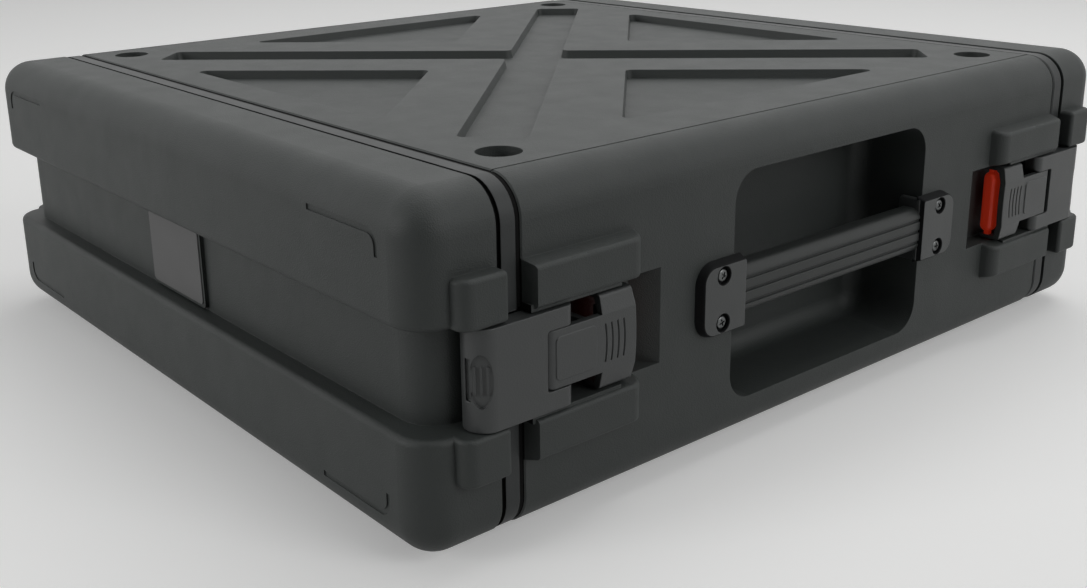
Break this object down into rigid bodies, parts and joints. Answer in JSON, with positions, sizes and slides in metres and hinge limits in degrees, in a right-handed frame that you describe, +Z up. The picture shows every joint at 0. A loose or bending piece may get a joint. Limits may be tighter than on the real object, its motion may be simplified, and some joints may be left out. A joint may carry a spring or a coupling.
{
  "type": "rack case",
  "caption": "Shallow moulded rack case, open sleeve closed at both ends by lift-off covers with trigger latches; bar handles in side recesses, sunken X and triangles on top.",
  "frame": {"origin": "centre of the footprint, at the underside of the feet", "axes": "-Y faces the front cover with the badge, +X is the right side with a handle and two latches, +Z is up"},
  "size_m": [0.5794, 0.622, 0.1955],
  "materials": {
    "shell": "fine pebbled moulding",
    "trim": "satin",
    "grip": "satin",
    "rubber": "matt",
    "steel": "bright zinc",
    "rail": "black zinc",
    "badge": "matt",
    "release": "satin"
  },
  "bodies": {
    "case": {"sleeve": "shell", "feet": "rubber", "foot_screws": "steel", "rail_screws": "steel", "handle_screws": "steel", "rail_front_right": "rail", "handle_cap_front_right": "trim", "latch_keeper_front_right": "steel", "rail_rear_right": "rail", "handle_cap_rear_right": "trim", "latch_keeper_rear_right": "steel", "handle_grip_right": "grip", "handle_core_right": "steel", "rail_front_left": "rail", "handle_cap_front_left": "trim", "latch_keeper_front_left": "steel", "rail_rear_left": "rail", "handle_cap_rear_left": "trim", "latch_keeper_rear_left": "steel", "handle_grip_left": "grip", "handle_core_left": "steel"},
    "front_cover": {"front_cover_shell": "shell", "front_cover_rim": "trim", "front_cover_gasket": "rubber", "front_badge": "badge", "latch_arm_pin_front_right": "steel", "latch_arm_pin_front_left": "steel"},
    "rear_cover": {"rear_cover_shell": "shell", "rear_cover_rim": "trim", "rear_cover_gasket": "rubber", "latch_arm_pin_rear_right": "steel", "latch_arm_pin_rear_left": "steel"},
    "latch_arm_front_right": {"latch_arm_front_right": "trim", "latch_trigger_pin_front_right": "steel"},
    "latch_trigger_front_right": {"latch_trigger_front_right": "trim", "latch_spring_front_right": "steel"},
    "latch_release_front_right": {"latch_release_front_right": "release"},
    "latch_arm_front_left": {"latch_arm_front_left": "trim", "latch_trigger_pin_front_left": "steel"},
    "latch_trigger_front_left": {"latch_trigger_front_left": "trim", "latch_spring_front_left": "steel"},
    "latch_release_front_left": {"latch_release_front_left": "release"},
    "latch_arm_rear_right": {"latch_arm_rear_right": "trim", "latch_trigger_pin_rear_right": "steel"},
    "latch_trigger_rear_right": {"latch_trigger_rear_right": "trim", "latch_spring_rear_right": "steel"},
    "latch_release_rear_right": {"latch_release_rear_right": "release"},
    "latch_arm_rear_left": {"latch_arm_rear_left": "trim", "latch_trigger_pin_rear_left": "steel"},
    "latch_trigger_rear_left": {"latch_trigger_rear_left": "trim", "latch_spring_rear_left": "steel"},
    "latch_release_rear_left": {"latch_release_rear_left": "release"}
  },
  "joints": [
    {"name": "front_cover_lift_off", "type": "slide", "parent": "case", "child": "front_cover", "axis": [0, -1, 0], "range_m": [0, 0.15]},
    {"name": "rear_cover_lift_off", "type": "slide", "parent": "case", "child": "rear_cover", "axis": [0, 1, 0], "range_m": [0, 0.15]},
    {"name": "front_right_arm_open", "type": "hinge", "parent": "front_cover", "child": "latch_arm_front_right", "pos_m": [0.2785, -0.271, 0.1015], "axis": [0, 0, -1], "range_deg": [0, 105]},
    {"name": "front_right_trigger_lift", "type": "hinge", "parent": "latch_arm_front_right", "child": "latch_trigger_front_right", "pos_m": [0.2839, -0.2338, 0.1015], "axis": [0, 0, -1], "range_deg": [0, 40]},
    {"name": "front_right_release_press", "type": "slide", "parent": "latch_trigger_front_right", "child": "latch_release_front_right", "axis": [0, -1, 0], "range_m": [0, 0.004], "stiffness_N_per_m": 350, "springref_m": -0.003},
    {"name": "front_left_arm_open", "type": "hinge", "parent": "front_cover", "child": "latch_arm_front_left", "pos_m": [-0.2785, -0.271, 0.1015], "axis": [0, 0, 1], "range_deg": [0, 105]},
    {"name": "front_left_trigger_lift", "type": "hinge", "parent": "latch_arm_front_left", "child": "latch_trigger_front_left", "pos_m": [-0.2839, -0.2338, 0.1015], "axis": [0, 0, 1], "range_deg": [0, 40]},
    {"name": "front_left_release_press", "type": "slide", "parent": "latch_trigger_front_left", "child": "latch_release_front_left", "axis": [0, -1, 0], "range_m": [0, 0.004], "stiffness_N_per_m": 350, "springref_m": -0.003},
    {"name": "rear_right_arm_open", "type": "hinge", "parent": "rear_cover", "child": "latch_arm_rear_right", "pos_m": [0.2785, 0.271, 0.1015], "axis": [0, 0, 1], "range_deg": [0, 105]},
    {"name": "rear_right_trigger_lift", "type": "hinge", "parent": "latch_arm_rear_right", "child": "latch_trigger_rear_right", "pos_m": [0.2839, 0.2338, 0.1015], "axis": [0, 0, 1], "range_deg": [0, 40]},
    {"name": "rear_right_release_press", "type": "slide", "parent": "latch_trigger_rear_right", "child": "latch_release_rear_right", "axis": [0, 1, 0], "range_m": [0, 0.004], "stiffness_N_per_m": 350, "springref_m": -0.003},
    {"name": "rear_left_arm_open", "type": "hinge", "parent": "rear_cover", "child": "latch_arm_rear_left", "pos_m": [-0.2785, 0.271, 0.1015], "axis": [0, 0, -1], "range_deg": [0, 105]},
    {"name": "rear_left_trigger_lift", "type": "hinge", "parent": "latch_arm_rear_left", "child": "latch_trigger_rear_left", "pos_m": [-0.2839, 0.2338, 0.1015], "axis": [0, 0, -1], "range_deg": [0, 40]},
    {"name": "rear_left_release_press", "type": "slide", "parent": "latch_trigger_rear_left", "child": "latch_release_rear_left", "axis": [0, 1, 0], "range_m": [0, 0.004], "stiffness_N_per_m": 350, "springref_m": -0.003}
  ]
}
